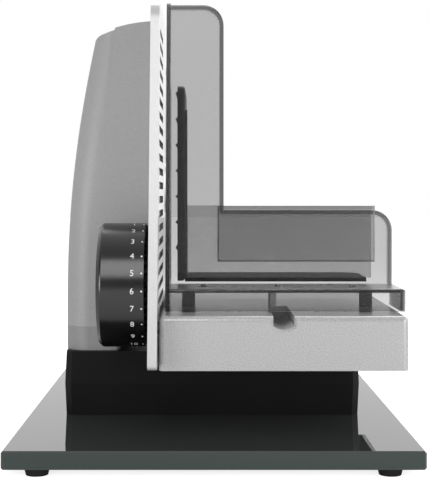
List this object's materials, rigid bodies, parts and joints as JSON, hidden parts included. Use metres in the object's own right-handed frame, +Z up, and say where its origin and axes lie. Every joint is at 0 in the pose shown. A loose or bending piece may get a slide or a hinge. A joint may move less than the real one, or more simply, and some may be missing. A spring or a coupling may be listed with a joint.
{
  "type": "food slicer",
  "caption": "Electric food slicer: round toothed blade beside a silver motor housing, ribbed stop plate, thickness knob, sliding carriage with clear guard and pusher, on a glass plate.",
  "frame": {"origin": "on the surface the feet stand on, below the middle of the glass plate", "axes": "+Z up, +Y away from the operator along the carriage travel, +X from the housing to the carriage side"},
  "size_m": [0.225, 0.35, 0.265],
  "materials": {
    "plate_glass": "polished clear glass",
    "foot_rubber": "matt",
    "screw_steel": "turned",
    "black_plastic": "satin moulded",
    "board": "matt",
    "silver_paint": "gloss silver",
    "cast_frame": "cast",
    "bush_brass": "turned",
    "magnet": "matt",
    "plate_aluminium": "satin",
    "blade_steel": "ground",
    "gear_plastic": "moulded",
    "knob_plastic": "satin",
    "carriage_paint": "satin silver",
    "smoked_clear": "smoked clear moulding"
  },
  "bodies": {
    "base": {"glass_base_plate": "plate_glass", "rubber_feet": "foot_rubber", "base_screws": "screw_steel", "base_shell_lower": "black_plastic", "base_shell_upper": "black_plastic", "mains_gland": "foot_rubber", "supply_board": "board", "housing_collar": "silver_paint", "motor_housing": "silver_paint", "housing_screws": "screw_steel", "blade_hood": "silver_paint", "blade_guard_ring": "plate_aluminium", "bearing_nose": "silver_paint", "gear_frame": "cast_frame", "shaft_bushes": "bush_brass", "worm_bushes": "bush_brass", "motor_can": "screw_steel", "motor_end_cap": "black_plastic", "motor_magnets": "magnet", "guide_bushes": "bush_brass", "screw_nut": "bush_brass", "carriage_rail": "plate_aluminium", "switch_body": "black_plastic"},
    "rotor": {"worm_shaft": "screw_steel", "armature": "magnet"},
    "blade_set": {"blade": "blade_steel", "blade_hub": "cast_frame", "blade_shaft": "screw_steel", "worm_wheel": "gear_plastic", "blade_lock": "blade_steel", "shaft_clip": "screw_steel"},
    "stop": {"stop_plate": "plate_aluminium", "plate_shroud": "silver_paint", "guide_rods": "screw_steel", "knob_axle": "screw_steel"},
    "knob": {"thickness_knob": "knob_plastic", "knob_gear": "gear_plastic"},
    "screw": {"lead_screw": "screw_steel", "screw_pinion": "gear_plastic"},
    "carriage": {"carriage_tray": "carriage_paint", "glide_shoes": "gear_plastic", "carriage_skid": "gear_plastic", "guard_posts": "black_plastic", "post_screws": "screw_steel", "guard_pin": "screw_steel", "hand_guard": "smoked_clear"},
    "pusher": {"pusher_shell": "smoked_clear", "pusher_floor": "black_plastic", "pusher_tooth_plate": "black_plastic"},
    "rocker": {"switch_rocker": "black_plastic"}
  },
  "joints": [
    {"name": "blade_spin", "type": "hinge", "parent": "base", "child": "blade_set", "pos_m": [-0.034, 0.06, 0.154], "axis": [1, 0, 0], "continuous": true},
    {"name": "rotor_spin", "type": "hinge", "parent": "base", "child": "rotor", "pos_m": [-0.07, 0.027, 0.154], "axis": [0, 0, 1], "continuous": true},
    {"name": "stop_slide", "type": "slide", "parent": "base", "child": "stop", "axis": [-1, 0, 0], "range_m": [0, 0.015]},
    {"name": "knob_turn", "type": "hinge", "parent": "stop", "child": "knob", "pos_m": [-0.05, -0.113, 0.0969], "axis": [-1, 0, 0], "range_deg": [0, 231]},
    {"name": "screw_turn", "type": "hinge", "parent": "stop", "child": "screw", "pos_m": [-0.05, -0.062, 0.0969], "axis": [-1, 0, 0], "range_deg": [-423.51, 0]},
    {"name": "carriage_slide", "type": "slide", "parent": "base", "child": "carriage", "axis": [0, 1, 0], "range_m": [0, 0.135]},
    {"name": "pusher_slide", "type": "slide", "parent": "carriage", "child": "pusher", "axis": [1, 0, 0], "range_m": [0, 0.07]},
    {"name": "switch_rock", "type": "hinge", "parent": "base", "child": "rocker", "pos_m": [-0.0885, -0.034, 0.077], "axis": [0, 0, -1], "range_deg": [0, 14]}
  ],
  "couplings": [
    {"joint": "rotor_spin", "follows": "blade_spin", "ratio": 26},
    {"joint": "stop_slide", "follows": "knob_turn", "m_per_rad": 0.0037205},
    {"joint": "screw_turn", "follows": "knob_turn", "ratio": -1.8333}
  ]
}
